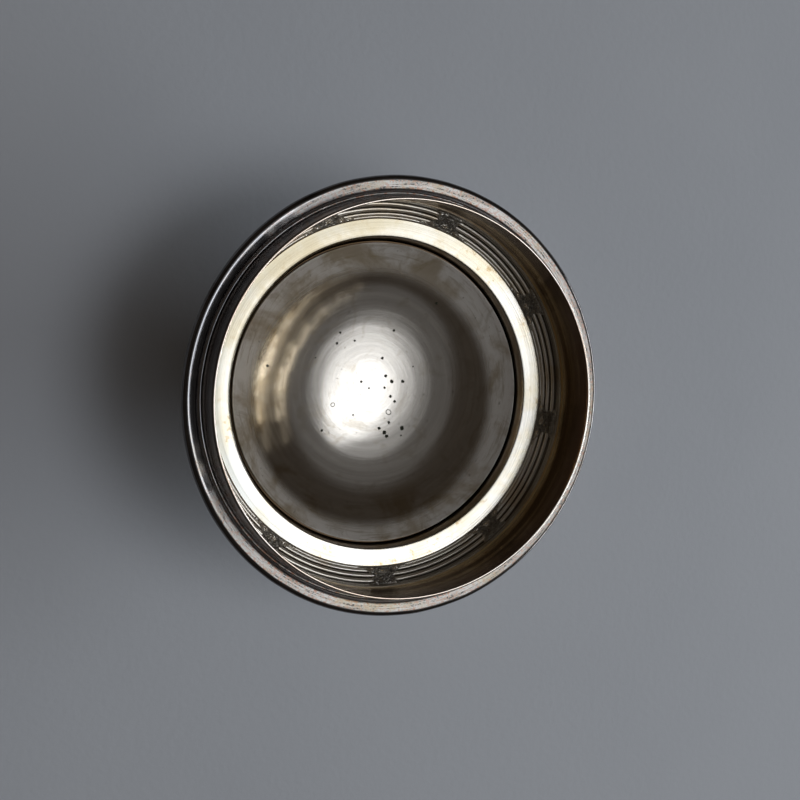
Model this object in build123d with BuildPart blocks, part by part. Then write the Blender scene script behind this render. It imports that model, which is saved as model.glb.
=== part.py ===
from build123d import *

import os
from math import atan2, cos, degrees, radians, sin

# Small silver-plated dappen dish: a spun bowl on a spreading foot, with an upstanding collar,
# a reed-and-tie border inside the throat and a loose spun well that lifts out.
#
# Millimetres, +Z up. The origin is on the table, at the middle of the foot. Every ring is turned
# about Z, so profiles are drawn in the XZ plane as (radius, height above the table).

os.makedirs("parts", exist_ok=True)

# ---------------------------------------------------------------- driving dimensions
lip_height = 24.0
lip_radius = 24.2
sheet = 0.5  # spun sheet
collar_sheet = 0.35

# shoulder and its moulded band
neck_radius = 24.92  # outside of the collar where it leaves the shoulder
neck_height = 20.64  # top of the band beside the collar
crest_radius, crest_height = 26.45, 21.2  # worn outer edge of the band
bulge_radius, bulge_height = 27.13, 20.5  # widest part of the dish
band_foot_radius, band_foot = 26.7, 19.9  # where the band sits on the body
seam_wire_radius, seam_wire_half = 25.2, 0.2

# throat: a sloping border between the collar and the ledge
throat_radius = neck_radius - collar_sheet
neck_turn = 19.6  # height inside the throat above which the collar draws in
collar_foot = 15.0
border_outer_radius, border_outer_height = 24.2, 15.24
border_inner_radius, border_inner_height = 22.26, 14.28
strip_drop = 0.22  # the strip lies this far below the line of the border
strip_outer_radius, strip_top = 24.25, 16.3
reeds = ((23.97, 0.26), (23.34, 0.24), (22.78, 0.22), (22.42, 0.16))  # radius, half width

# ties: leaves that cross the reeds, as (radius, half angle in degrees) down one side
tie_count, tie_phase = 9, 29.1
leaf_side = ((24.4, 4.2), (23.9, 4.3), (23.4, 3.5), (22.9, 4.8), (22.45, 7.3))
leaf_sheet = 0.2
leaf_gap = 0.01  # solder film over the reeds
leaf_top = 16.1

# ledge and well
ledge_radius, ledge_height = 20.1, 13.92  # inner edge of the ledge
step_radius = 19.65
seat_radius, seat_gap = 19.08, 0.02  # the rim of the loose well stands on the seat
well_radius, well_height = 19.45, 12.64
well_mouth = 18.85
well_floor = 7.7  # lowest point of the hollow

# body and foot
body_floor, floor_radius = 4.6, 9.0
foot_top_radius, foot_bore = 8.7, 5.0
foot_radius, foot_edge = 14.6, 1.1
foot_wire_half = 0.45

border_slope = atan2(
    border_outer_height - border_inner_height, border_outer_radius - border_inner_radius
)


def on_border(radius, lift=0.0):
    """The point of the border's slope at a radius, raised square to the slope by lift."""
    level = border_inner_height + (radius - border_inner_radius) * sin(border_slope) / cos(border_slope)
    return (radius - lift * sin(border_slope), level + lift * cos(border_slope))


def half_octagon(half):
    """Corners of half an octagon standing on a flat side of 2 * half, as hand-drawn wire has."""
    return [(half * cos(radians(turn)), half * sin(radians(turn))) for turn in range(0, 181, 45)]


def finish(piece, name):
    """Labels a finished piece and writes it."""
    piece.part.label = name
    export_step(piece.part, f"parts/{name}.step")


# ---------------------------------------------------------------- body shell
# Spun bowl: a flat flange for the band, then one long curve down to a small flat floor.
with BuildPart() as body_shell:
    with BuildSketch(Plane.XZ):
        with BuildLine():
            Bezier(
                (band_foot_radius, band_foot),
                (26.1, 12.0),
                (21.0, body_floor),
                (floor_radius, body_floor),
            )
            Polyline(
                (floor_radius, body_floor),
                (0, body_floor),
                (0, body_floor + sheet),
                (floor_radius, body_floor + sheet),
            )
            Bezier(
                (floor_radius, body_floor + sheet),
                (20.7, body_floor + sheet),
                (25.55, 12.0),
                (band_foot_radius - sheet, band_foot - sheet),
            )
            Polyline(
                (band_foot_radius - sheet, band_foot - sheet),
                (neck_radius, band_foot - sheet),
                (neck_radius, band_foot),
                (band_foot_radius, band_foot),
            )
        make_face()
    revolve(axis=Axis.Z)
finish(body_shell, "body_shell")

# ---------------------------------------------------------------- shoulder band
# Moulded ring: flat beside the collar, hollowed up to a worn edge, then rounded over and down.
band_flat = (seam_wire_radius + seam_wire_half, neck_height)
with BuildPart() as shoulder_band:
    with BuildSketch(Plane.XZ):
        with BuildLine():
            Polyline(
                (band_foot_radius, band_foot),
                (neck_radius, band_foot),
                (neck_radius, neck_height),
                band_flat,
            )
            Bezier(band_flat, (25.65, 21.05), (26.05, crest_height), (crest_radius, crest_height))
            Bezier(
                (crest_radius, crest_height),
                (26.9, crest_height),
                (bulge_radius, 20.95),
                (bulge_radius, bulge_height),
            )
            Bezier(
                (bulge_radius, bulge_height),
                (bulge_radius, 20.2),
                (27.0, band_foot),
                (band_foot_radius, band_foot),
            )
        make_face()
    revolve(axis=Axis.Z)
finish(shoulder_band, "shoulder_band")

# ---------------------------------------------------------------- seam wire
# Fine drawn wire soldered over the joint of collar and band.
with BuildPart() as seam_wire:
    with BuildSketch(Plane.XZ):
        with Locations((seam_wire_radius, neck_height)):
            Polygon(*half_octagon(seam_wire_half), align=None)
    revolve(axis=Axis.Z)
finish(seam_wire, "seam_wire")

# ---------------------------------------------------------------- collar
# Thin neck that runs down inside the body and draws in a little towards its rounded lip.
with BuildPart() as collar:
    with BuildSketch(Plane.XZ):
        with BuildLine():
            Polyline(
                (throat_radius, collar_foot),
                (neck_radius, collar_foot),
                (neck_radius, neck_height),
                (lip_radius, lip_height),
                (lip_radius - collar_sheet, lip_height),
                (throat_radius, neck_turn),
                close=True,
            )
        make_face()
    revolve(axis=Axis.Z)
    fillet(collar.edges().group_by(Axis.Z)[-1], radius=0.45 * collar_sheet)
finish(collar, "collar")

# ---------------------------------------------------------------- border strip
# Sloping ring soldered into the foot of the collar, which carries the reeds and ties.
strip_outer = on_border(strip_outer_radius, -strip_drop)
strip_inner = on_border(border_inner_radius, -strip_drop)
strip_edge = (throat_radius - 0.08, strip_top)
with BuildPart() as border_strip:
    with BuildSketch(Plane.XZ):
        with BuildLine():
            Bezier(strip_edge, (throat_radius - 0.1, strip_outer[1] + 0.3), strip_outer)
            Polyline(
                strip_outer,
                strip_inner,
                (strip_inner[0], strip_inner[1] - sheet),
                (throat_radius, collar_foot - sheet),
                (throat_radius, strip_top),
                strip_edge,
            )
        make_face()
    revolve(axis=Axis.Z)
finish(border_strip, "border_strip")

# ---------------------------------------------------------------- reed wires
# Fine drawn wires with their flat side down on the strip.
for number, (radius, half) in enumerate(reeds, start=1):
    with BuildPart() as reed_wire:
        with BuildSketch(Plane.XZ):
            with Locations(Location((*on_border(radius, -strip_drop), 0), (0, 0, degrees(border_slope)))):
                Polygon(*half_octagon(half), align=None)
        revolve(axis=Axis.Z)
    finish(reed_wire, f"reed_wire_{number}")

# ---------------------------------------------------------------- border ties
# Small leaves bent over the reeds: narrow at the waist, fanned out where they meet the ledge.
leaf_low = reeds[0][1] - strip_drop + leaf_gap
leaf_high = leaf_low + leaf_sheet
leaf_end = leaf_side[-1][0]
for number in range(tie_count):
    middle = tie_phase + number * 360 / tie_count
    left = [(radius, radians(middle + half)) for radius, half in leaf_side]
    right = [(radius, radians(middle - half)) for radius, half in reversed(leaf_side)]
    with BuildPart() as border_tie:
        with BuildSketch(Plane.XZ):
            with BuildLine():
                Polyline(
                    on_border(leaf_end, leaf_low),
                    on_border(23.75, leaf_low),
                    (24.28, leaf_top),
                    (24.28 - leaf_sheet, leaf_top),
                    on_border(23.65, leaf_high),
                    on_border(leaf_end, leaf_high),
                    close=True,
                )
            make_face()
        revolve(axis=Axis.Z)
        with BuildSketch(Plane.XY.offset(border_inner_height)):
            with BuildLine():
                Polyline(*[(r * cos(a), r * sin(a)) for r, a in left + right], close=True)
            make_face()
        extrude(amount=leaf_top - border_inner_height, mode=Mode.INTERSECT)
    finish(border_tie, f"border_tie_{number + 1}")

# ---------------------------------------------------------------- ledge ring
# Bright flat ring, turned down at its inner edge into a step with a narrow seat for the well.
seat_height = well_height - sheet - seat_gap
ledge_outer = strip_inner[0]
with BuildPart() as ledge_ring:
    with BuildSketch(Plane.XZ):
        with BuildLine():
            Bezier(
                (ledge_outer, strip_inner[1]),
                (ledge_outer, border_inner_height),
                (ledge_outer - 0.25, border_inner_height),
            )
            Line((ledge_outer - 0.25, border_inner_height), (ledge_radius + 0.2, ledge_height + 0.02))
            Bezier(
                (ledge_radius + 0.2, ledge_height + 0.02),
                (ledge_radius, ledge_height),
                (ledge_radius - 0.05, ledge_height - 0.2),
            )
            Polyline(
                (ledge_radius - 0.05, ledge_height - 0.2),
                (step_radius, seat_height),
                (seat_radius, seat_height),
                (seat_radius, seat_height - sheet),
                (step_radius + sheet, seat_height - sheet),
                (ledge_radius + sheet, ledge_height - 1.4 * sheet),
                (ledge_outer, strip_inner[1] - sheet),
                (ledge_outer, strip_inner[1]),
            )
        make_face()
    revolve(axis=Axis.Z)
finish(ledge_ring, "ledge_ring")

# ---------------------------------------------------------------- well liner
# Loose spun well: a shallow hollow, part of a sphere, with a narrow flat rim.
hollow_depth = well_height - well_floor
hollow_radius = (well_mouth**2 + hollow_depth**2) / (2 * hollow_depth)
hollow_centre = well_floor + hollow_radius
under_height = well_height - sheet
under_mouth = ((hollow_radius + sheet) ** 2 - (hollow_centre - under_height) ** 2) ** 0.5
with BuildPart() as well_liner:
    with BuildSketch(Plane.XZ):
        with BuildLine():
            RadiusArc((0, well_floor), (well_mouth, well_height), -hollow_radius)
            Polyline(
                (well_mouth, well_height),
                (well_radius, well_height),
                (well_radius, under_height),
                (under_mouth, under_height),
            )
            RadiusArc((under_mouth, under_height), (0, well_floor - sheet), hollow_radius + sheet)
            Line((0, well_floor - sheet), (0, well_floor))
        make_face()
    revolve(axis=Axis.Z)
finish(well_liner, "well_liner")

# ---------------------------------------------------------------- foot
# Spun foot: a flange under the body, a waist, and a flare that turns down at the table.
with BuildPart() as foot:
    with BuildSketch(Plane.XZ):
        with BuildLine():
            Bezier(
                (foot_top_radius, body_floor), (7.4, 2.5), (11.6, 1.9), (foot_radius - 0.2, foot_edge)
            )
            Polyline(
                (foot_radius - 0.2, foot_edge),
                (foot_radius, foot_edge - 0.15),
                (foot_radius, 0),
                (foot_radius - sheet, 0),
                (foot_radius - sheet, foot_edge - sheet),
            )
            Bezier(
                (foot_radius - sheet, foot_edge - sheet),
                (11.0, 1.4),
                (7.0, 1.9),
                (foot_top_radius - 0.75, body_floor - sheet),
            )
            Polyline(
                (foot_top_radius - 0.75, body_floor - sheet),
                (foot_bore, body_floor - sheet),
                (foot_bore, body_floor),
                (foot_top_radius, body_floor),
            )
        make_face()
    revolve(axis=Axis.Z)
finish(foot, "foot")

# ---------------------------------------------------------------- foot wire
# Half-round wire soldered round the upright edge of the foot.
with BuildPart() as foot_wire:
    with BuildSketch(Plane.XZ):
        with Locations((foot_radius, foot_wire_half + 0.02)):
            Circle(foot_wire_half)
            Rectangle(1, 1, align=(Align.MAX, Align.CENTER), mode=Mode.SUBTRACT)
    revolve(axis=Axis.Z)
finish(foot_wire, "foot_wire")
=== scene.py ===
"""Looks of the small silver-plated dappen dish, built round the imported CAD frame.

The scene is in metres, +Z up, the dish standing on the floor at Z = 0. The small details are
written in millimetres, as (radius, height) sections of rings turned about Z, and scaled by MM when
a mesh is made. Each turned piece stands for the CAD node of the same place and size.
"""

import math
import random

import bpy
from mathutils import Matrix, Vector, noise


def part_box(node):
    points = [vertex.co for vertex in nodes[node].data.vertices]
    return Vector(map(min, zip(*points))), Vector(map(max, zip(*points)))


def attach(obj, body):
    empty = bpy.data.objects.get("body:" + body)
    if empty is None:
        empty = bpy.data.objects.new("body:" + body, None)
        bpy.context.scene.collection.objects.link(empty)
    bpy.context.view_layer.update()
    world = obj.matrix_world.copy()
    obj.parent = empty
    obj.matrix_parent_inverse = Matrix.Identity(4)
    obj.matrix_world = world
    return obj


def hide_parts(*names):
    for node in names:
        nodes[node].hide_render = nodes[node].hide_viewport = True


MM = 0.001
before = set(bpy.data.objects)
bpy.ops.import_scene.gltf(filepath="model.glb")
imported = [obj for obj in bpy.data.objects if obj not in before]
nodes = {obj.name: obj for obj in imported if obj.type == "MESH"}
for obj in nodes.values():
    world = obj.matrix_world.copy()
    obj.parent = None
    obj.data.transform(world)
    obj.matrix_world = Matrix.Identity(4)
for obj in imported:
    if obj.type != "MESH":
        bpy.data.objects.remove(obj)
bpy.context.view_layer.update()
scene = bpy.context.scene


# ---------------------------------------------------------------- places, from the frame, in mm
def top(node):
    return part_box(node)[1].z / MM


def bottom(node):
    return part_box(node)[0].z / MM


def reach(node):
    """Outer radius of a turned node."""
    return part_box(node)[1].x / MM


def radii_at(node, level, slack=0.05):
    """Smallest and largest radius of a turned node's points near a height."""
    places = [v.co for v in nodes[node].data.vertices if abs(v.co.z / MM - level) < slack]
    found = [math.hypot(place.x, place.y) / MM for place in places]
    return min(found), max(found)


LIP_Z = top("collar")
LIP_R = radii_at("collar", LIP_Z, 0.2)[1]
NECK_R = reach("collar")
NECK_Z = bottom("seam_wire")
COLLAR_FOOT = bottom("collar")
THROAT_R = radii_at("collar", COLLAR_FOOT)[0]
BULGE_R = reach("shoulder_band")
CREST_Z, BAND_FOOT = top("shoulder_band"), bottom("shoulder_band")
STRIP_TOP = top("border_strip")
LEDGE_TOP = top("ledge_ring")
SEAT_FOOT = bottom("ledge_ring")
LEDGE_OUTER = reach("ledge_ring")
WELL_R, WELL_Z, WELL_BOTTOM = reach("well_liner"), top("well_liner"), bottom("well_liner")

# ---------------------------------------------------------------- camera
# Set so that the dish's circles fall where the photo shows them.
CAMERA_DISTANCE = 132.0 * MM  # from the middle of the lip
LIP_MIDDLE = Vector((0, 0, LIP_Z * MM))
camera_data = bpy.data.cameras.new("camera")
camera_data.lens = 49.5
camera_data.clip_start = 0.005
camera = bpy.data.objects.new("camera", camera_data)
scene.collection.objects.link(camera)
camera_right = Vector((0.93217, 0.0, 0.36201)).normalized()
camera_back = Vector((-0.36039, 0.09448, 0.92800)).normalized()
camera_up = camera_back.cross(camera_right)
camera_place = LIP_MIDDLE + CAMERA_DISTANCE * Vector((-0.37141, 0.09570, 0.92360))
camera_turn = Matrix((camera_right, camera_up, camera_back)).transposed().to_4x4()
camera.matrix_world = Matrix.Translation(camera_place) @ camera_turn
scene.camera = camera


# ---------------------------------------------------------------- light
DAYLIGHT, SKYLIGHT, LATE_SUN = (0.98, 0.99, 1.0), (0.90, 0.96, 1.0), (1.0, 0.87, 0.66)


def leaning(x, y):
    """Direction leaning from straight up by x degrees to +X and y degrees to +Y."""
    return Vector((math.tan(math.radians(x)), math.tan(math.radians(y)), 1)).normalized()


def swung(lean, swing):
    """Direction leaning by lean degrees from straight up, turned swing degrees from +X."""
    flat = math.sin(math.radians(lean))
    swing = math.radians(swing)
    return Vector((flat * math.cos(swing), flat * math.sin(swing), math.cos(math.radians(lean))))


def softbox(
    name, direction, half, radiance, colour=DAYLIGHT, distance=0.6, along=(0, 1, 0), shape="RECTANGLE"
):
    """An area light over the lip, facing it. It reaches half degrees to each side, first across
    and then along, and looks as bright as radiance."""
    data = bpy.data.lights.new(name, "AREA")
    data.shape = shape
    data.size = 2 * distance * math.tan(math.radians(half[0]))
    data.size_y = 2 * distance * math.tan(math.radians(half[1]))
    filled = math.pi / 4 if shape == "ELLIPSE" else 1.0
    data.energy = radiance * math.pi * filled * data.size * data.size_y
    data.color = colour
    lamp = bpy.data.objects.new(name, data)
    scene.collection.objects.link(lamp)
    across = Vector(along).cross(direction).normalized()
    lamp.location = LIP_MIDDLE + distance * direction
    lamp.rotation_euler = Matrix((across, direction.cross(across), direction)).transposed().to_euler()
    return lamp


softbox("window_core", leaning(24, -2.5), (9.5, 14), 1.25, along=(1, 1, 0), shape="ELLIPSE")
softbox("window", leaning(21.5, -9), (14, 16), 0.9, distance=0.62, shape="ELLIPSE")
softbox("window_glow", leaning(20.5, -7), (20, 22), 0.28, distance=0.64, shape="ELLIPSE")
softbox("window_halo", leaning(20, -7), (29, 31), 0.08, distance=0.66, shape="ELLIPSE")
softbox("room", swung(81, -10), (5.5, 28), 11.5, SKYLIGHT, distance=1.1, along=(0.17, 1, 0))

# An arc of narrow lamps that fades at both ends, for the two golden arcs in the well.
ARC_LAMPS, ARC_PITCH = 8, 8
ARC_START, ARC_END = -51, 7  # degrees from +X
for step in range(ARC_LAMPS):
    swing = ARC_START + ARC_PITCH * step
    risen = 0.1 + 0.9 * min(1.0, (swing - ARC_START) / 36) ** 2.2
    share = risen * min(1.0, (ARC_END - swing) / 18)
    side = Vector((-math.sin(math.radians(swing)), math.cos(math.radians(swing)), 0))
    for lean, reach_out, radiance in ((52.3, 0.7, 2.1), (56, 3.4, 0.22), (60.3, 0.7, 3.4)):
        direction = swung(lean - 0.15 * abs(swing + 8), swing)
        lamp_name = f"side_{lean:.0f}_{step}"
        length = 4 * math.sin(math.radians(lean))  # so that neighbours just meet
        softbox(lamp_name, direction, (reach_out, length), share * radiance, LATE_SUN, 0.7, side)

world = bpy.data.worlds.new("studio")
world.use_nodes = True
background = world.node_tree.nodes["Background"]
background.inputs["Color"].default_value = (0.82, 0.67, 0.53, 1)
background.inputs["Strength"].default_value = 0.052
scene.world = world
scene.view_settings.view_transform = "Standard"


# ---------------------------------------------------------------- shader building blocks
class Shader:
    """A material with a Principled shader, and short ways to add and join nodes."""

    def __init__(self, name):
        self.material = bpy.data.materials.new(name)
        self.material.use_nodes = True
        self.tree = self.material.node_tree
        self.principled = self.tree.nodes["Principled BSDF"]

    def node(self, kind, *inputs, **settings):
        """Adds a node; inputs are (socket name or number, value or output socket)."""
        made = self.tree.nodes.new(kind)
        for key, value in settings.items():
            setattr(made, key, value)
        for socket, value in inputs:
            self.put(made.inputs[socket], value)
        return made

    def put(self, socket, value):
        if isinstance(value, bpy.types.NodeSocket):
            self.tree.links.new(value, socket)
        else:
            socket.default_value = value

    def maths(self, operation, a, b=0.0, clamp=False):
        return self.node("ShaderNodeMath", (0, a), (1, b), operation=operation, use_clamp=clamp).outputs[0]

    def vector(self, operation, a, b=(0, 0, 0)):
        made = self.node("ShaderNodeVectorMath", (0, a), (1, b), operation=operation)
        return made.outputs["Value" if operation == "LENGTH" else "Vector"]

    def noise(self, vector, scale=1.0, detail=3.0, rough=0.5, distortion=0.0):
        made = self.node(
            "ShaderNodeTexNoise",
            ("Vector", vector),
            ("Scale", scale),
            ("Detail", detail),
            ("Roughness", rough),
            ("Distortion", distortion),
        )
        return made.outputs["Fac"]

    def step(self, value, low, high, to_low=0.0, to_high=1.0):
        """Smoothly maps value from low..high to to_low..to_high."""
        made = self.node(
            "ShaderNodeMapRange",
            ("Value", value),
            ("From Min", low),
            ("From Max", high),
            ("To Min", to_low),
            ("To Max", to_high),
            interpolation_type="SMOOTHSTEP",
        )
        return made.outputs["Result"]

    def mix(self, share, a, b):
        """Mixes two colours, each a tuple of three or an output socket."""
        made = self.node("ShaderNodeMix", data_type="RGBA")
        colours = [(*c, 1) if isinstance(c, tuple) else c for c in (a, b)]
        self.put(made.inputs[0], share)
        self.put(made.inputs[6], colours[0])
        self.put(made.inputs[7], colours[1])
        return made.outputs[2]

    def attribute(self, name):
        return self.node("ShaderNodeAttribute", attribute_name=name).outputs["Fac"]

    def turned(self, off=(0.0, 0.0)):
        """Unit direction from the turning axis, radius and height in mm, for a piece spun about
        a vertical axis off the origin by off, in mm."""
        place = self.node("ShaderNodeTexCoord").outputs["Object"]
        place = self.vector("SUBTRACT", place, (off[0] * MM, off[1] * MM, 0))
        flat = self.vector("MULTIPLY", place, (1 / MM, 1 / MM, 0))
        radius = self.vector("LENGTH", flat)
        apart = self.node("ShaderNodeSeparateXYZ", (0, place)).outputs
        return self.vector("NORMALIZE", flat), radius, self.maths("MULTIPLY", apart[2], 1 / MM)

    def rings(self, around, across, turns, pitch, detail=3.0, rough=0.6):
        """Noise drawn out into turning marks: varies turns times round, and every pitch mm across."""
        along = self.node("ShaderNodeCombineXYZ", (2, self.maths("MULTIPLY", across, 1 / pitch))).outputs[0]
        spread = self.vector("MULTIPLY", around, (turns, turns, 0))
        return self.noise(self.vector("ADD", along, spread), 1.0, detail, rough)

    def finish(self, colour, rough, metallic=1.0, anisotropic=0.0):
        put = self.principled.inputs
        self.put(put["Base Color"], (*colour, 1) if isinstance(colour, tuple) else colour)
        self.put(put["Roughness"], rough)
        self.put(put["Metallic"], metallic)
        if anisotropic:
            put["Anisotropic"].default_value = anisotropic
            put["Anisotropic Rotation"].default_value = 0.25  # a quarter turn
            tangent = self.node("ShaderNodeTangent", direction_type="RADIAL", axis="Z")
            self.put(put["Tangent"], tangent.outputs[0])
        return self.material

    def bump(self, *heights):
        """Adds bumps, each (height socket, depth in mm)."""
        normal = None
        for height, depth in heights:
            inputs = (("Height", height), ("Distance", depth * MM), ("Strength", 1.0))
            made = self.node("ShaderNodeBump", *inputs)
            if normal:
                self.put(made.inputs["Normal"], normal)
            normal = made.outputs[0]
        self.put(self.principled.inputs["Normal"], normal)


# Black of tarnish spots, and of painted shade in the gap below the well's rim.
TARNISH_AND_SHADE_BLACK = (0.035, 0.03, 0.028)


def spun_silver():
    """Inside of the well: spun, grey, with ring marks, brown tarnish clouds, stains and scratches;
    duller and paler towards the edge, partly a duller finish and partly a painted reflection of the
    ledge; black as painted shade on its outside below the rim."""
    s = Shader("spun_silver")
    around, radius, _ = s.turned(off=(0.1, 0.9))
    place = s.node("ShaderNodeTexCoord").outputs["Object"]
    coarse = s.rings(around, radius, 0.5, 0.7, 3.0)
    fine = s.rings(around, radius, 1.6, 0.09, 4.0, 0.7)
    clouds = s.noise(place, 95.0, 5.0, 0.62, 0.5)
    stains = s.noise(place, 260.0, 5.0, 0.66, 0.8)
    specks = s.noise(place, 1500.0, 3.0, 0.6)
    # Paler and less metallic towards the edge: partly a duller finish, partly a painted reflection of the
    # ledge.
    edge = s.step(s.turned(off=(-0.3, -0.8))[1], 15.4, 18.0)
    outer = s.step(radius, 13.0, 16.5)
    colour = s.mix(s.step(coarse, 0.36, 0.66), (0.56, 0.54, 0.51), (0.65, 0.63, 0.595))
    colour = s.mix(s.maths("MULTIPLY", s.step(fine, 0.55, 0.75), 0.35), colour, (0.40, 0.38, 0.35))
    colour = s.mix(s.maths("MULTIPLY", edge, 0.85), colour, (0.88, 0.87, 0.85))
    colour = s.mix(s.maths("MULTIPLY", s.step(stains, 0.50, 0.68), 0.42), colour, (0.36, 0.31, 0.23))
    streaky = s.rings(around, radius, 3.5, 0.45, 5.0, 0.7)
    streaked = s.maths("MULTIPLY", s.step(streaky, 0.50, 0.68), s.step(outer, 0.0, 1.0, 0.15, 0.6))
    colour = s.mix(streaked, colour, (0.42, 0.37, 0.29))
    tarnish = s.maths("MULTIPLY", outer, s.step(clouds, 0.48, 0.64), clamp=True)
    colour = s.mix(s.maths("MULTIPLY", tarnish, 0.7), colour, (0.34, 0.26, 0.14))
    colour = s.mix(s.maths("MULTIPLY", s.step(specks, 0.66, 0.74), 0.5), colour, (0.16, 0.14, 0.10))
    # Painted shade: black on the well's outside below its rim, in the gap by the step.
    colour = s.mix(s.attribute("grime_and_shade"), colour, TARNISH_AND_SHADE_BLACK)
    dull = s.maths("ADD", s.step(radius, 9.5, 5.0, 0.0, 0.08), s.step(stains, 0.5, 0.75, 0.0, 0.04))
    dull = s.maths("ADD", s.maths("MULTIPLY", edge, 0.26), dull)
    rough = s.maths("ADD", s.step(fine, 0.3, 0.7, 0.07, 0.12), dull)
    s.bump((coarse, 0.0022), (fine, 0.0016), (specks, 0.0014))
    return s.finish(colour, rough, metallic=s.step(edge, 0.0, 1.0, 1.0, 0.25), anisotropic=0.3)


def bright_silver():
    """The ledge: polished, creamy, faintly brushed round, greyer along its outer side as painted
    shade; the step inside it is brown, partly with age and partly as painted shade.
    """
    s = Shader("bright_silver")
    around, radius, _ = s.turned()
    place = s.node("ShaderNodeTexCoord").outputs["Object"]
    fine = s.rings(around, radius, 0.9, 0.10, 3.0)
    clouds = s.noise(place, 140.0, 4.0, 0.6)
    freckles = s.noise(place, 900.0, 3.0, 0.6)
    colour = s.mix(s.step(clouds, 0.38, 0.62), (0.73, 0.715, 0.675), (0.70, 0.64, 0.50))
    freckled = s.maths("MULTIPLY", s.step(freckles, 0.56, 0.68), s.step(clouds, 0.42, 0.60, 0.1, 1.0))
    colour = s.mix(s.maths("MULTIPLY", freckled, 0.7), colour, (0.42, 0.28, 0.12))
    # Painted shade: greyer along the ledge's outer side, most towards -X.
    colour = s.mix(s.attribute("outer_shade"), colour, (0.25, 0.275, 0.275))
    colour = s.mix(s.maths("MULTIPLY", s.step(fine, 0.58, 0.75), 0.3), colour, (0.50, 0.46, 0.38))
    yellowed = s.maths("MULTIPLY", s.attribute("aged"), s.step(clouds, 0.30, 0.60, 0.6, 1.0))
    colour = s.mix(yellowed, colour, (0.38, 0.335, 0.235))
    # The step's brown, darkest at its foot, is partly tarnish and partly painted shade.
    grime_and_shade = s.attribute("grime_and_shade")
    brown = s.mix(s.step(grime_and_shade, 0.55, 0.95), (0.36, 0.22, 0.09), (0.05, 0.03, 0.015))
    colour = s.mix(grime_and_shade, colour, brown)
    s.bump((fine, 0.0015))
    return s.finish(colour, s.step(fine, 0.3, 0.7, 0.17, 0.26), anisotropic=0.3)


def border_silver():
    """Border strip and reeds: warm silver, black between the reeds, partly dirt and partly painted shade."""
    s = Shader("border_silver")
    around, radius, height = s.turned()
    fine = s.rings(around, s.maths("ADD", radius, height), 1.5, 0.12, 3.0)
    patches = s.noise(s.node("ShaderNodeTexCoord").outputs["Object"], 190.0, 4.0, 0.6)
    colour = s.mix(s.step(fine, 0.35, 0.7), (0.84, 0.81, 0.74), (1.0, 0.98, 0.93))
    colour = s.mix(s.maths("MULTIPLY", s.step(patches, 0.5, 0.7), 0.5), colour, (0.66, 0.50, 0.28))
    # Black between the reeds: partly dirt, partly painted shade.
    colour = s.mix(s.attribute("grime_and_shade"), colour, (0.05, 0.04, 0.03))
    s.bump((fine, 0.002))
    return s.finish(colour, s.step(fine, 0.3, 0.7, 0.20, 0.30), metallic=0.66)


def tie_silver():
    """Ties: grey-black stippled ground, partly tarnish and partly painted shade in the low parts,
    with bright worn petals.
    """
    s = Shader("tie_silver")
    place = s.node("ShaderNodeTexCoord").outputs["Object"]
    stipple = s.node("ShaderNodeTexVoronoi", ("Vector", place), ("Scale", 5200.0)).outputs["Distance"]
    grain = s.noise(place, 2600.0, 3.0, 0.7)
    lightened = s.maths("MULTIPLY", s.step(stipple, 0.0, 0.5), 0.2)
    grime_and_shade = s.maths("SUBTRACT", s.attribute("grime_and_shade"), lightened, clamp=True)
    ground = s.mix(s.step(grain, 0.42, 0.66), (0.018, 0.016, 0.014), (0.15, 0.14, 0.125))
    colour = s.mix(grime_and_shade, (0.98, 0.96, 0.90), ground)
    s.bump((stipple, 0.03), (grain, 0.02))
    return s.finish(colour, s.maths("ADD", s.maths("MULTIPLY", grime_and_shade, 0.2), 0.22), metallic=0.8)


def collar_silver():
    """Collar: brown-toned drawn sheet, nearly black outside as painted shade, rubbed bright along
    the lip; a brighter golden band low inside is a painted reflection of the ledge.
    """
    s = Shader("collar_silver")
    around, radius, height = s.turned()
    streaks = s.rings(around, height, 0.5, 1.4, 4.0)
    fine = s.rings(around, height, 1.2, 0.12, 3.0)
    colour = s.mix(s.step(streaks, 0.38, 0.62), (0.18, 0.11, 0.05), (0.72, 0.55, 0.32))
    colour = s.mix(s.step(height, 19.0, 23.0), colour, (0.22, 0.13, 0.08))
    # Painted reflection of the ledge: a brighter golden, partly diffuse band low on the inside.
    foot = s.step(height, 17.4, 16.4)
    colour = s.mix(foot, colour, s.mix(s.step(streaks, 0.40, 0.60), (0.66, 0.46, 0.20), (1.0, 0.82, 0.50)))
    # Painted shade: near black, streaked, on the collar's outside above the shoulder.
    painted_shade_colour = s.mix(s.step(streaks, 0.42, 0.62), (0.028, 0.022, 0.018), (0.085, 0.062, 0.045))
    colour = s.mix(s.attribute("grime_and_shade"), colour, painted_shade_colour)
    edge = s.mix(s.step(fine, 0.4, 0.6), (0.95, 0.92, 0.88), (0.86, 0.72, 0.60))
    colour = s.mix(s.attribute("worn"), colour, edge)
    s.bump((streaks, 0.008), (fine, 0.002))
    rough = s.maths("ADD", s.step(fine, 0.3, 0.7, 0.16, 0.26), s.step(height, 18.0, 16.0, 0.0, 0.14))
    return s.finish(colour, rough, metallic=s.step(foot, 0.0, 1.0, 0.95, 0.35), anisotropic=0.4)


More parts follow.
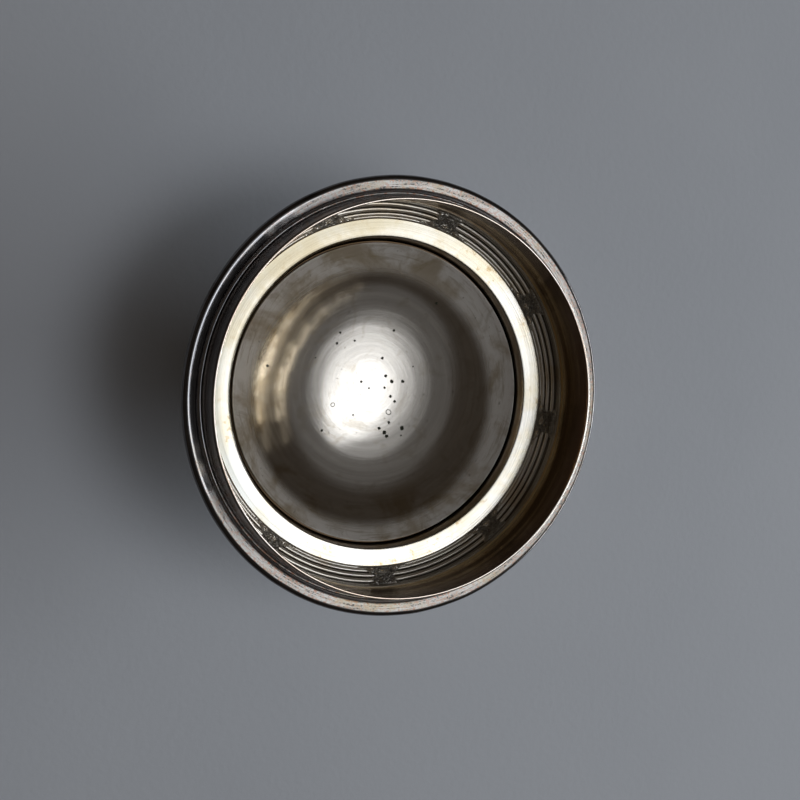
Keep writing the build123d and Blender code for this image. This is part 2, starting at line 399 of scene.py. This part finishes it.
def worn_band_silver():
    """Band: plate rubbed matt and through to copper in speckles and streaks, blue-black elsewhere;
    near black below the bulge and in the angle by the seam wire as painted shade.
    """
    s = Shader("worn_band_silver")
    around, radius, height = s.turned()
    place = s.node("ShaderNodeTexCoord").outputs["Object"]
    streaks = s.rings(around, s.maths("SUBTRACT", radius, height), 6.0, 0.16, 5.0, 0.75)
    lines = s.rings(around, radius, 0.8, 0.14, 3.0)
    speckle = s.noise(place, 2600.0, 4.0, 0.75)
    patches = s.noise(place, 170.0, 4.0, 0.62)
    rubbed = s.mix(s.step(streaks, 0.38, 0.52), (0.74, 0.65, 0.56), (1.0, 0.99, 0.97))
    edges = s.maths("ADD", s.step(radius, 26.25, 26.5), s.step(radius, 25.75, 25.5), clamp=True)
    copper = s.maths("MULTIPLY", s.step(speckle, 0.51, 0.56), s.step(edges, 0.0, 1.0, 0.45, 1.0))
    rubbed = s.mix(copper, rubbed, (0.76, 0.40, 0.26))
    rubbed = s.mix(s.maths("MULTIPLY", s.step(patches, 0.52, 0.64), 0.4), rubbed, (0.80, 0.66, 0.36))
    spots = s.maths("MULTIPLY", s.step(streaks, 0.52, 0.42), s.step(speckle, 0.51, 0.42))
    rubbed = s.mix(spots, rubbed, (0.07, 0.06, 0.07))
    plate = s.mix(s.step(lines, 0.35, 0.65), (0.20, 0.20, 0.22), (0.62, 0.64, 0.68))
    worn = s.attribute("worn")
    # Painted shade: near black, streaked, below the bulge and by the seam wire.
    painted_shade_colour = s.mix(s.step(streaks, 0.40, 0.62), (0.030, 0.027, 0.027), (0.14, 0.12, 0.11))
    shade_share = s.maths("MULTIPLY", s.attribute("grime_and_shade"), s.step(patches, 0.3, 0.6, 1.0, 0.8))
    colour = s.mix(shade_share, s.mix(worn, plate, rubbed), painted_shade_colour)
    worn_streaks = s.maths("MULTIPLY", streaks, worn)
    worn_speckle = s.maths("MULTIPLY", speckle, worn)
    s.bump((worn_streaks, 0.016), (worn_speckle, 0.013), (lines, 0.002))
    return s.finish(colour, s.step(worn, 0.0, 1.0, 0.17, 0.40), metallic=s.step(worn, 0.0, 1.0, 0.95, 0.45))


def dark_silver():
    """Outside of the body and foot: dark old tarnish over spun silver, lighter where hands rub."""
    s = Shader("dark_silver")
    around, radius, height = s.turned()
    place = s.node("ShaderNodeTexCoord").outputs["Object"]
    fine = s.rings(around, height, 1.5, 0.2, 4.0)
    clouds = s.noise(place, 70.0, 5.0, 0.6, 0.6)
    spots = s.noise(place, 900.0, 3.0, 0.6)
    colour = s.mix(s.step(clouds, 0.36, 0.66), (0.20, 0.17, 0.14), (0.46, 0.42, 0.37))
    colour = s.mix(s.maths("MULTIPLY", s.step(fine, 0.5, 0.75), 0.4), colour, (0.60, 0.56, 0.50))
    colour = s.mix(s.maths("MULTIPLY", s.step(spots, 0.62, 0.72), 0.7), colour, TARNISH_AND_SHADE_BLACK)
    s.bump((fine, 0.004), (clouds, 0.02))
    return s.finish(colour, s.step(clouds, 0.35, 0.65, 0.42, 0.24), anisotropic=0.4)


def crust():
    """Pits in the well: dark green-black corrosion."""
    s = Shader("crust")
    place = s.node("ShaderNodeTexCoord").outputs["Object"]
    grain = s.noise(place, 9000.0, 3.0, 0.6)
    s.bump((grain, 0.02))
    colour = s.mix(s.step(grain, 0.35, 0.65), (0.02, 0.022, 0.017), (0.07, 0.085, 0.055))
    return s.finish(colour, 0.75, metallic=0.2)


def pale_floor():
    """Matt, cool pale grey, very slightly uneven."""
    s = Shader("pale_floor")
    place = s.node("ShaderNodeTexCoord").outputs["Object"]
    clouds = s.noise(place, 9.0, 4.0, 0.6)
    grain = s.noise(place, 900.0, 3.0, 0.6)
    colour = s.mix(s.step(clouds, 0.3, 0.7), (0.63, 0.67, 0.745), (0.68, 0.72, 0.795))
    s.bump((grain, 0.02))
    return s.finish(colour, 0.9, metallic=0.0)


materials = {
    "spun": spun_silver(),
    "bright": bright_silver(),
    "border": border_silver(),
    "tie": tie_silver(),
    "collar": collar_silver(),
    "band": worn_band_silver(),
    "dark": dark_silver(),
    "crust": crust(),
}


# ---------------------------------------------------------------- mesh building blocks
def add_piece(name, points, faces, material, body, replaced=(), attributes=None):
    """Makes a smooth-shaded piece from points in mm, with its attributes and material, puts it
    under its body and hides the CAD nodes it replaces.
    """
    mesh = bpy.data.meshes.new(name)
    mesh.from_pydata([tuple(c * MM for c in p) for p in points], [], faces)
    mesh.validate()
    for key, values in (attributes or {}).items():
        layer = mesh.attributes.new(key, "FLOAT", "POINT")
        layer.data.foreach_set("value", values)
    mesh.polygons.foreach_set("use_smooth", [True] * len(mesh.polygons))
    mesh.set_sharp_from_angle(angle=math.radians(38))
    mesh.materials.append(materials[material])
    piece = bpy.data.objects.new(name, mesh)
    scene.collection.objects.link(piece)
    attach(piece, body)
    if replaced:
        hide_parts(*replaced)
    return piece


def outline(corners, pitch=0.25, round_steps=5):
    """Points along a section. Each corner is (radius, height, round): the corner is cut back by
    round on both sides and bridged by a curve. Straight stretches get a point every pitch."""
    count = len(corners)
    points = []
    closed = corners[0][0] > 0
    for i, (r, z, cut) in enumerate(corners):
        here = Vector((r, z))
        if not closed and i in (0, count - 1) or not cut:
            bend = [here]
        else:
            before = Vector(corners[i - 1][:2])
            after = Vector(corners[(i + 1) % count][:2])
            start = here + (before - here).normalized() * cut
            end = here + (after - here).normalized() * cut
            bend = [
                start * (1 - t) ** 2 + here * 2 * t * (1 - t) + end * t**2
                for t in (k / round_steps for k in range(round_steps + 1))
            ]
        if points:
            points += spaced(points[-1], bend[0], pitch)
        points += bend
    if closed:
        points += spaced(points[-1], points[0], pitch)
    return points


def spaced(start, end, pitch):
    """Points strictly between two points, a pitch apart or less."""
    parts = max(1, math.ceil((end - start).length / pitch))
    return [start.lerp(end, k / parts) for k in range(1, parts)]


def curve(start, control_a, control_b, end, steps):
    """Points of a cubic curve, without its last."""
    a, b, c, d = (Vector(p) for p in (start, control_a, control_b, end))
    made = []
    for k in range(steps):
        t = k / steps
        u = 1 - t
        made.append(a * u**3 + b * 3 * t * u**2 + c * 3 * t**2 * u + d * t**3)
    return made


def turned(name, section, material, body, replaced, around=360, wobble=None, marks=None):
    """Turns a section about Z. A section that starts and ends on the axis gets single points there.
    wobble(r, z, angle) gives small shifts (dr, dz); marks is {attribute: f(r, z, angle)}."""
    poled = section[0][0] < 1e-6
    points, faces, values = [], [], {key: [] for key in marks or {}}
    rings = section[1:-1] if poled else section
    for k in range(around):
        angle = 2 * math.pi * k / around
        for r, z in rings:
            dr, dz = wobble(r, z, angle) if wobble else (0, 0)
            points.append(((r + dr) * math.cos(angle), (r + dr) * math.sin(angle), z + dz))
            for key, f in (marks or {}).items():
                values[key].append(f(r, z, angle))
    size = len(rings)
    for k in range(around):
        here, there = k * size, (k + 1) % around * size
        for i in range(size - 1 if poled else size):
            j = (i + 1) % size
            faces.append((here + i, here + j, there + j, there + i))
    if poled:
        for end, index in ((section[0], 0), (section[-1], size - 1)):
            points.append((0, 0, end[1]))
            pole = len(points) - 1
            for key, f in (marks or {}).items():
                values[key].append(f(0, end[1], 0))
            for k in range(around):
                a, b = k * size + index, (k + 1) % around * size + index
                faces.append((pole, a, b) if index == 0 else (pole, b, a))
    return add_piece(name, points, faces, material, body, replaced, values)


def hand(seed, scale, amount):
    """A shift function like slightly uneven handwork: smooth noise with lumps about scale mm."""

    def shift(r, z, angle):
        place = Vector((r * math.cos(angle), r * math.sin(angle), z)) / scale
        return (
            amount * noise.noise(place + Vector((seed, 0, 0))),
            amount * noise.noise(place + Vector((0, seed, 7))),
        )

    return shift


def near(value, centre, width):
    """1 at centre, falling smoothly to 0 a width away."""
    return max(0.0, 1 - ((value - centre) / width) ** 2) ** 2


# ---------------------------------------------------------------- well liner
MOUTH_R = WELL_R - 0.12
SHEET = 0.5
depth = WELL_Z - WELL_BOTTOM - SHEET
HOLLOW_R = (MOUTH_R**2 + depth**2) / (2 * depth)
HOLLOW_MIDDLE = WELL_BOTTOM + SHEET + HOLLOW_R


def hollow(radius):
    """Height of the well's surface at a radius."""
    return HOLLOW_MIDDLE - math.sqrt(HOLLOW_R**2 - radius**2)


def under(radius):
    """Height of the underside of the well."""
    return HOLLOW_MIDDLE - math.sqrt((HOLLOW_R + SHEET) ** 2 - radius**2)


well_section = [Vector((0.25 * k, hollow(0.25 * k))) for k in range(int(MOUTH_R / 0.25))]
well_section += outline(
    [
        (MOUTH_R - 0.2, hollow(MOUTH_R - 0.2), 0),
        (MOUTH_R, WELL_Z, 0.05),
        (WELL_R, WELL_Z - 0.1, 0.05),
        (WELL_R, WELL_Z - SHEET, 0.12),
        (WELL_R - 0.45, WELL_Z - SHEET - 0.1, 0),
    ],
    0.15,
)[:-1]
UNDER_STEPS = 37  # of half a millimetre, from the axis to the rim
well_section += [Vector((0.5 * k, under(0.5 * k))) for k in range(UNDER_STEPS, -1, -1)]
well_waves = hand(3, 8.0, 0.009)


def well_wobble(r, z, angle):
    """Shallow turning waves and a little unevenness that dies out at the rim."""
    fade = max(0.0, 1 - (r / MOUTH_R) ** 6)
    dr, dz = well_waves(r, z, angle)
    return 0, fade * (dz + 0.003 * math.sin(r * 2.6) * (0.6 + 0.4 * noise.noise(Vector((r, 4, 1)))))


turned(
    "well_liner_spun",
    well_section,
    "spun",
    "well",
    ["well_liner"],
    wobble=well_wobble,
    # Painted shade: the well's outside below its rim, in the gap by the step, is made black.
    marks={"grime_and_shade": lambda r, z, a: 0.75 if z < WELL_Z - 0.12 and r > MOUTH_R else 0.0},
)

# ---------------------------------------------------------------- pits in the well
# (across, up, radius) in mm, in plan
pits = (
    (2.0, 4.3, 0.20), (2.5, 1.9, 0.22), (3.4, 1.1, 0.25), (4.9, 1.1, 0.22), (2.4, 0.3, 0.18),
    (-0.9, 1.2, 0.18), (0.2, 0.3, 0.14), (3.2, -0.9, 0.2), (3.8, -1.6, 0.2), (2.9, -4.4, 0.2),
    (1.5, -5.1, 0.2), (2.2, -5.7, 0.26), (2.5, -6.2, 0.24), (4.7, -5.2, 0.28), (4.5, -6.2, 0.12),
    (-2.0, 6.7, 0.16), (-4.1, 7.8, 0.16), (-4.5, 6.4, 0.18), (3.4, 8.0, 0.16), (-6.7, -5.0, 0.17),
    (-14.4, 3.8, 0.2), (-7.5, 4.6, 0.1), (6.3, 3.1, 0.1), (8.8, 11.6, 0.18),
)  # fmt: skip
PIT_SIDES = 16
RING_STEPS, RING_SIDES = 28, 8  # of a ring mark, round it and round its section
pit_random = random.Random(11)
pit_points, pit_faces = [], []


def well_place(x, y, lift):
    """A point over the well's surface, lifted square to it."""
    r, angle = math.hypot(x, y), math.atan2(y, x)
    lean = math.asin(r / HOLLOW_R)
    z = hollow(r) + well_wobble(r, hollow(r), angle)[1]
    r -= lift * math.sin(lean)
    return (r * math.cos(angle), r * math.sin(angle), z + lift * math.cos(lean))


def add_pit(x, y, radius):
    """A raised, irregular crust with a sunken middle, closed underneath."""
    start = len(pit_points)
    uneven = [1 + pit_random.uniform(-0.22, 0.22) for _ in range(PIT_SIDES)]
    for share, lift in ((1.0, -0.05), (1.0, 0.004), (0.72, 0.035), (0.35, 0.012)):
        for k in range(PIT_SIDES):
            a = 2 * math.pi * k / PIT_SIDES
            reach_out = radius * share * uneven[k]
            pit_points.append(well_place(x + reach_out * math.cos(a), y + reach_out * math.sin(a), lift))
    pit_points.append(well_place(x, y, -0.05))
    pit_points.append(well_place(x, y, 0.0))
    low, high = start + 4 * PIT_SIDES, start + 4 * PIT_SIDES + 1
    for k in range(PIT_SIDES):
        n = (k + 1) % PIT_SIDES
        pit_faces.append((low, start + n, start + k))
        for ring in range(3):
            a = start + ring * PIT_SIDES
            b = a + PIT_SIDES
            pit_faces.append((a + k, a + n, b + n, b + k))
        last = start + 3 * PIT_SIDES
        pit_faces.append((high, last + k, last + n))


def add_ring_mark(x, y, radius, half=0.05):
    """A fine raised ring of corrosion, as a drop leaves when it dries."""
    start = len(pit_points)
    for k in range(RING_STEPS):
        a = 2 * math.pi * k / RING_STEPS
        for j in range(RING_SIDES):
            b = 2 * math.pi * j / RING_SIDES
            out = radius * (1 + 0.08 * math.sin(2 * a + x)) + half * math.cos(b)
            place = well_place(x + out * math.cos(a), y + out * math.sin(a), 0.6 * half * math.sin(b))
            pit_points.append(place)
    for k in range(RING_STEPS):
        here, there = start + k * RING_SIDES, start + (k + 1) % RING_STEPS * RING_SIDES
        for j in range(RING_SIDES):
            n = (j + 1) % RING_SIDES
            pit_faces.append((here + j, there + j, there + n, here + n))


for pit in pits:
    add_pit(*pit)
for mark in ((2.9, -3.0, 0.34), (-5.0, -1.7, 0.26), (-2.1, -3.2, 0.12)):
    add_ring_mark(*mark)
add_piece("well_pits", pit_points, pit_faces, "crust", "well")

# ---------------------------------------------------------------- ledge ring
LEDGE_INNER, LEDGE_INNER_Z = 20.1, 13.92
STEP_R = 19.65
SEAT_R, SEAT_Z = radii_at("ledge_ring", SEAT_FOOT)[0], SEAT_FOOT + SHEET
LEDGE_JOIN = LEDGE_TOP - 0.2  # where the ledge meets the border strip
ledge_section = outline(
    [
        (LEDGE_OUTER, LEDGE_JOIN, 0),
        (LEDGE_OUTER, LEDGE_TOP, 0.1),
        (LEDGE_INNER, LEDGE_INNER_Z, 0.16),
        (STEP_R, SEAT_Z, 0.06),
        (SEAT_R, SEAT_Z, 0.05),
        (SEAT_R, SEAT_FOOT, 0.05),
        (STEP_R + SHEET, SEAT_FOOT, 0.2),
        (LEDGE_INNER + SHEET, LEDGE_INNER_Z - 0.7, 0.2),
        (LEDGE_OUTER, LEDGE_JOIN - SHEET, 0.05),
    ],
    0.2,
)


def ledge_grime_and_shade(r, z, angle):
    """Brown in the step, partly tarnish and partly painted shade, darkest at its foot, with a thin
    line beside the reeds.
    """
    if r < LEDGE_INNER - 0.05:
        return min(1.0, 0.62 + 0.36 * ((LEDGE_INNER_Z - z) / (LEDGE_INNER_Z - SEAT_Z)) ** 2)
    return 0.9 * near(r, LEDGE_OUTER, 0.1)


def ledge_outer_shade(r, z, angle):
    """Painted shade: greyer along the outer side, most towards -X."""
    facing = max(0.0, 0.25 + 0.75 * math.cos(angle - math.radians(165)))
    return 0.8 * facing * min(1.0, max(0.0, (r - 20.9) / 0.8))


def ledge_aged(r, z, angle):
    """Yellower towards +Y and -X."""
    return 0.9 * max(0.0, math.cos(angle - math.radians(120))) ** 1.2


turned(
    "ledge_ring_bright",
    ledge_section,
    "bright",
    "dish",
    ["ledge_ring"],
    wobble=hand(11, 6.0, 0.02),
    marks={"grime_and_shade": ledge_grime_and_shade, "aged": ledge_aged, "outer_shade": ledge_outer_shade},
)

# ---------------------------------------------------------------- border strip and reeds
SLOPE_OUTER, SLOPE_INNER = Vector((24.2, 15.24)), Vector((22.26, 14.28))
SLOPE = (SLOPE_OUTER - SLOPE_INNER).normalized()
SLOPE_UP = Vector((-SLOPE.y, SLOPE.x))
STRIP_DROP = 0.22


def on_border(radius, lift=0.0):
    """Point of the border's slope at a radius, raised square to the slope."""
    return SLOPE_INNER + SLOPE * ((radius - SLOPE_INNER.x) / SLOPE.x) + SLOPE_UP * lift


strip_outer, strip_inner = on_border(24.25, -STRIP_DROP), on_border(SLOPE_INNER.x, -STRIP_DROP)
strip_edge = Vector((THROAT_R - 0.08, STRIP_TOP))
strip_section = curve(strip_edge, (THROAT_R - 0.1, 15.6), (THROAT_R - 0.1, 15.2), strip_outer, 12)
strip_section += outline(
    [
        (*strip_outer, 0),
        (*strip_inner, 0),
        (strip_inner.x, strip_inner.y - SHEET, 0),
        (THROAT_R, COLLAR_FOOT - SHEET, 0),
        (THROAT_R, STRIP_TOP, 0),
        (strip_edge.x + 0.02, STRIP_TOP, 0),
    ],
    0.12,
)
turned(
    "border_strip_spun",
    strip_section,
    "border",
    "dish",
    ["border_strip"],
    # Darker down between the reeds and in the corner under the collar: partly dirt, partly painted shade.
    marks={"grime_and_shade": lambda r, z, a: 0.93 if z < 15.3 else 0.5 if z < 16.0 else 0.1},
)

REED_RISE = 0.58  # height over half width
REED_STEPS = 14
REEDS = ((23.97, 0.26), (23.34, 0.24), (22.78, 0.22), (22.42, 0.16))  # radius, half width
for number, (reed_radius, half) in enumerate(REEDS, start=1):
    middle = on_border(reed_radius, -STRIP_DROP)
    half_round = []
    for k in range(REED_STEPS + 1):
        turn = math.pi * k / REED_STEPS
        out = SLOPE * half * math.cos(turn)
        up = SLOPE_UP * half * REED_RISE * math.sin(turn)
        half_round.append(middle + out + up)

    # Dark along each reed's foot: partly dirt, partly painted shade in the crease.
    def reed_grime_and_shade(r, z, a, middle=middle, half=half):
        rise = (Vector((r, z)) - middle).dot(SLOPE_UP) / half
        return max(0.0, 1 - (rise / 0.2) ** 2) if rise < 0.2 else 0.0

    turned(
        f"reed_{number}_round",
        half_round,
        "border",
        "dish",
        [f"reed_wire_{number}"],
        wobble=hand(20 + number, 2.5, 0.022),
        marks={"grime_and_shade": reed_grime_and_shade},
    )

# ---------------------------------------------------------------- border ties
TIE_COUNT, TIE_PHASE = 9, 29.1
TIE_ROWS, TIE_COLUMNS = 44, 56
TIE_HALF_ANGLES = (
    (0.0, 9.4), (0.07, 9.0), (0.17, 6.4), (0.3, 4.7), (0.48, 3.8), (0.66, 4.0), (0.84, 4.6), (1.0, 4.9),
)  # fmt: skip
TIE_TOP = 15.6
tie_path = [
    on_border(22.36, -STRIP_DROP),
    on_border(24.1, -STRIP_DROP),
    Vector((THROAT_R - 0.1, TIE_TOP)),
]


def tie_half_angle(share):
    """Half the tie's width, in degrees, at a share of the way from the ledge to its top."""
    for (low, a), (high, b) in zip(TIE_HALF_ANGLES, TIE_HALF_ANGLES[1:]):
        if share <= high:
            t = (share - low) / (high - low)
            return a + (b - a) * t * t * (3 - 2 * t)
    return TIE_HALF_ANGLES[-1][1]


def tie_frame(share):
    """Point of the surface under the tie, and the direction square to it."""
    legs = [(b - a).length for a, b in zip(tie_path, tie_path[1:])]
    along = share * sum(legs)
    wall_up = Vector((-1, 0.1)).normalized()
    blend = min(1.0, max(0.0, (along - legs[0] + 0.3) / 0.6))
    if along <= legs[0]:
        place = tie_path[0].lerp(tie_path[1], along / legs[0])
    else:
        place = tie_path[1].lerp(tie_path[2], (along - legs[0]) / legs[1])
    return place, SLOPE_UP.lerp(wall_up, blend).normalized()


def tie_relief(share, across, seed):
    """(height in mm, grime and painted shade) of the tie: three petals by the ledge, ribs fanning
    up from them, a stippled ground and a thin edge."""
    angle = across * tie_half_angle(share)
    petals = max(
        near(math.hypot((angle - side) / wide, (share - low) / tall), 0, 1.0)
        for side, low, wide, tall in ((0.0, 0.26, 1.7, 0.15), (-4.6, 0.16, 2.1, 0.12), (4.6, 0.16, 2.1, 0.12))
    )
    curls = near(math.hypot((abs(angle) - 7.4) / 1.4, (share - 0.07) / 0.07), 0.7, 0.45)
    fan = math.cos(11 * math.atan2(angle / 7.0, share + 0.12)) * min(1.0, share * 4) * (1 - share)
    place = Vector((angle * 1.1, share * 8, seed))
    stipple = noise.noise(place * 2.2) + 0.8 * noise.noise(place * 5.3)
    edge = max(0.0, 1 - abs(across) ** 6) * min(1.0, share / 0.05, (1 - share) / 0.06)
    height = edge * (0.25 + 0.24 * petals + 0.14 * curls + 0.05 * fan + 0.12 * stipple)
    bright = 1.7 * petals + 1.2 * curls + max(0.0, stipple - 0.2) * 2.4 + 0.1 * max(0.0, fan)
    return height, min(1.0, max(0.0, 0.97 - bright))


for number in range(TIE_COUNT):
    tie_middle = math.radians(TIE_PHASE + number * 360 / TIE_COUNT)
    tie_points, tie_grime_and_shade, tie_faces = [], [], []
    for layer in (1, 0):
        for row in range(TIE_ROWS + 1):
            share = row / TIE_ROWS
            place, square = tie_frame(share)
            for column in range(TIE_COLUMNS + 1):
                across = 2 * column / TIE_COLUMNS - 1
                height, grime_and_shade = tie_relief(share, across, 31.7 * number)
                lifted = place + square * (height + 0.01 if layer else -0.04)
                a = tie_middle + math.radians(across * tie_half_angle(share))
                tie_points.append((lifted.x * math.cos(a), lifted.x * math.sin(a), lifted.y))
                tie_grime_and_shade.append(grime_and_shade)
    stride = TIE_COLUMNS + 1
    below = stride * (TIE_ROWS + 1)  # from a point to the one under it
    for row in range(TIE_ROWS):
        for column in range(TIE_COLUMNS):
            a = row * stride + column
            b = below + a
            tie_faces.append((a, a + stride, a + stride + 1, a + 1))
            tie_faces.append((b, b + 1, b + stride + 1, b + stride))
    rim = list(range(stride))
    rim += [row * stride + TIE_COLUMNS for row in range(1, TIE_ROWS + 1)]
    rim += [TIE_ROWS * stride + column for column in range(TIE_COLUMNS - 1, -1, -1)]
    rim += [row * stride for row in range(TIE_ROWS - 1, 0, -1)]
    for a, b in zip(rim, rim[1:] + rim[:1]):
        tie_faces.append((a, b, below + b, below + a))
    add_piece(
        f"tie_{number + 1}_leaf",
        tie_points,
        tie_faces,
        "tie",
        "dish",
        [f"border_tie_{number + 1}"],
        {"grime_and_shade": tie_grime_and_shade},
    )

# ---------------------------------------------------------------- collar
NECK_TURN = 19.6  # inside height above which the collar draws in
collar_section = outline(
    [
        (THROAT_R, COLLAR_FOOT, 0),
        (NECK_R, COLLAR_FOOT, 0),
        (NECK_R, NECK_Z, 0.5),
        (LIP_R, LIP_Z, 0.17),
        (LIP_R - 0.35, LIP_Z, 0.17),
        (THROAT_R, NECK_TURN, 1.2),
    ],
    0.15,
)


def collar_painted_shade(r, z, a):
    """Painted shade: black outside above the shoulder."""
    outside = r > NECK_R - 0.2 - max(0.0, z - NECK_Z) * (NECK_R - LIP_R) / (LIP_Z - NECK_Z)
    return 0.97 if outside and z > NECK_Z - 1 else 0.0


collar_hand = hand(41, 8.0, 0.03)


def collar_wobble(r, z, angle):
    """A little uneven, and the lip is bent outwards slightly towards +X and -Y."""
    dr, dz = collar_hand(r, z, angle)
    bent = max(0.0, math.cos(angle + math.radians(25))) * max(0.0, z - 18.0) / (LIP_Z - 18.0)
    return dr + 0.22 * bent, dz


turned(
    "collar_neck",
    collar_section,
    "collar",
    "dish",
    ["collar"],
    wobble=collar_wobble,
    marks={
        "grime_and_shade": collar_painted_shade,
        "worn": lambda r, z, a: 0.85 * near(z, LIP_Z, 0.06),
    },
)

# ---------------------------------------------------------------- seam wire and band
SEAM_R, SEAM_HALF = 25.2, 0.2
SEAM_EDGE = SEAM_R + SEAM_HALF
SEAM_STEPS = 20
seam_section = []
for k in range(SEAM_STEPS + 1):
    turn = math.pi * k / SEAM_STEPS
    rise = SEAM_HALF * math.sin(turn) * (1 - 0.35 * near(turn, math.pi / 2, 0.5))
    seam_section.append(Vector((SEAM_R + SEAM_HALF * math.cos(turn), NECK_Z + rise)))
turned(
    "seam_wire_round",
    seam_section,
    "band",
    "dish",
    ["seam_wire"],
    wobble=hand(51, 2.0, 0.015),
    marks={"worn": lambda r, z, a: 0.3 * min(1.0, max(0.0, (z - NECK_Z) / SEAM_HALF))},
)

CREST_R, BULGE_Z, BAND_SEAT_R = 26.45, 20.5, 26.7
FLAT_START, FLAT_END = Vector((25.47, 21.04)), Vector((26.12, 21.14))  # the band's nearly flat top
band_section = outline(
    [
        (BAND_SEAT_R, BAND_FOOT, 0),
        (NECK_R, BAND_FOOT, 0),
        (NECK_R, NECK_Z, 0),
        (SEAM_EDGE, NECK_Z, 0),
    ],
    0.2,
)
band_section = band_section[: band_section.index(Vector((SEAM_EDGE, NECK_Z)))]
band_section += curve((SEAM_EDGE, NECK_Z), (SEAM_EDGE, 20.94), (25.42, 21.0), FLAT_START, 5)
band_section += spaced(FLAT_START, FLAT_END, 0.06)
band_section += curve(FLAT_END, (26.25, 21.16), (26.35, CREST_Z), (CREST_R, CREST_Z), 6)
band_section += curve((CREST_R, CREST_Z), (26.9, CREST_Z), (BULGE_R, 20.95), (BULGE_R, BULGE_Z), 12)
band_section += curve((BULGE_R, BULGE_Z), (BULGE_R, 20.2), (27.0, BAND_FOOT), (BAND_SEAT_R, BAND_FOOT), 8)
band_hand = hand(61, 3.0, 0.03)


def band_wobble(r, z, angle):
    """A little uneven, and worn down least, so more hollow, towards -X."""
    dr, dz = band_hand(r, z, angle)
    sunk = 0.14 * max(0.0, math.cos(angle - math.radians(165))) ** 1.2
    return dr, dz - sunk * min(1.0, max(0.0, (26.2 - r) / 0.72)) * (z > NECK_Z + 0.2)


def band_worn(r, z, angle):
    """Rubbed matt on top, least on the -X side; the side below the crest stays dark."""
    ragged = 0.3 * noise.noise(Vector((r * math.cos(angle), r * math.sin(angle), z)) * 0.7)
    kept = min(1.0, max(0.0, (math.cos(angle - math.radians(162)) - 0.58 + 0.6 * ragged) / 0.36))
    rubbed = 1 - kept
    if r > CREST_R:
        rubbed *= max(0.0, min(1.0, 0.8 - (r - CREST_R) / 0.16 + ragged))
    return rubbed


def band_painted_shade(r, z, angle):
    """Painted shade: dark below the bulge and in the angle by the seam wire."""
    return max(min(1.0, max(0.0, (r - CREST_R) / 0.2)), 0.9 * near(r, SEAM_EDGE, 0.12))


turned(
    "shoulder_band_worn",
    band_section,
    "band",
    "dish",
    ["shoulder_band"],
    around=480,
    wobble=band_wobble,
    marks={"worn": band_worn, "grime_and_shade": band_painted_shade},
)

# ---------------------------------------------------------------- foot wire
FOOT_R = radii_at("foot", 0.0, 0.02)[1]
WIRE_HALF = reach("foot_wire") - FOOT_R
WIRE_Z = bottom("foot_wire") + WIRE_HALF
WIRE_STEPS = 16
foot_wire_section = []
for k in range(WIRE_STEPS + 1):
    turn = math.pi * k / WIRE_STEPS
    place = (FOOT_R + WIRE_HALF * math.sin(turn), WIRE_Z - WIRE_HALF * math.cos(turn))
    foot_wire_section.append(Vector(place))
turned(
    "foot_wire_round",
    foot_wire_section,
    "band",
    "dish",
    ["foot_wire"],
    wobble=hand(71, 3.0, 0.02),
    marks={"worn": lambda r, z, a: 0.8 * max(0.0, (r - FOOT_R) / WIRE_HALF) ** 2},
)

# ---------------------------------------------------------------- kept CAD nodes and floor
for name in ("body_shell", "foot"):
    nodes[name].data.materials.clear()
    nodes[name].data.materials.append(materials["dark"])

FLOOR = 3.0  # half width, in metres
floor_corners = [(-FLOOR, -FLOOR, 0), (FLOOR, -FLOOR, 0), (FLOOR, FLOOR, 0), (-FLOOR, FLOOR, 0)]
floor_mesh = bpy.data.meshes.new("floor")
floor_mesh.from_pydata(floor_corners, [], [(0, 1, 2, 3)])
floor_mesh.materials.append(pale_floor())
floor = bpy.data.objects.new("floor", floor_mesh)
scene.collection.objects.link(floor)
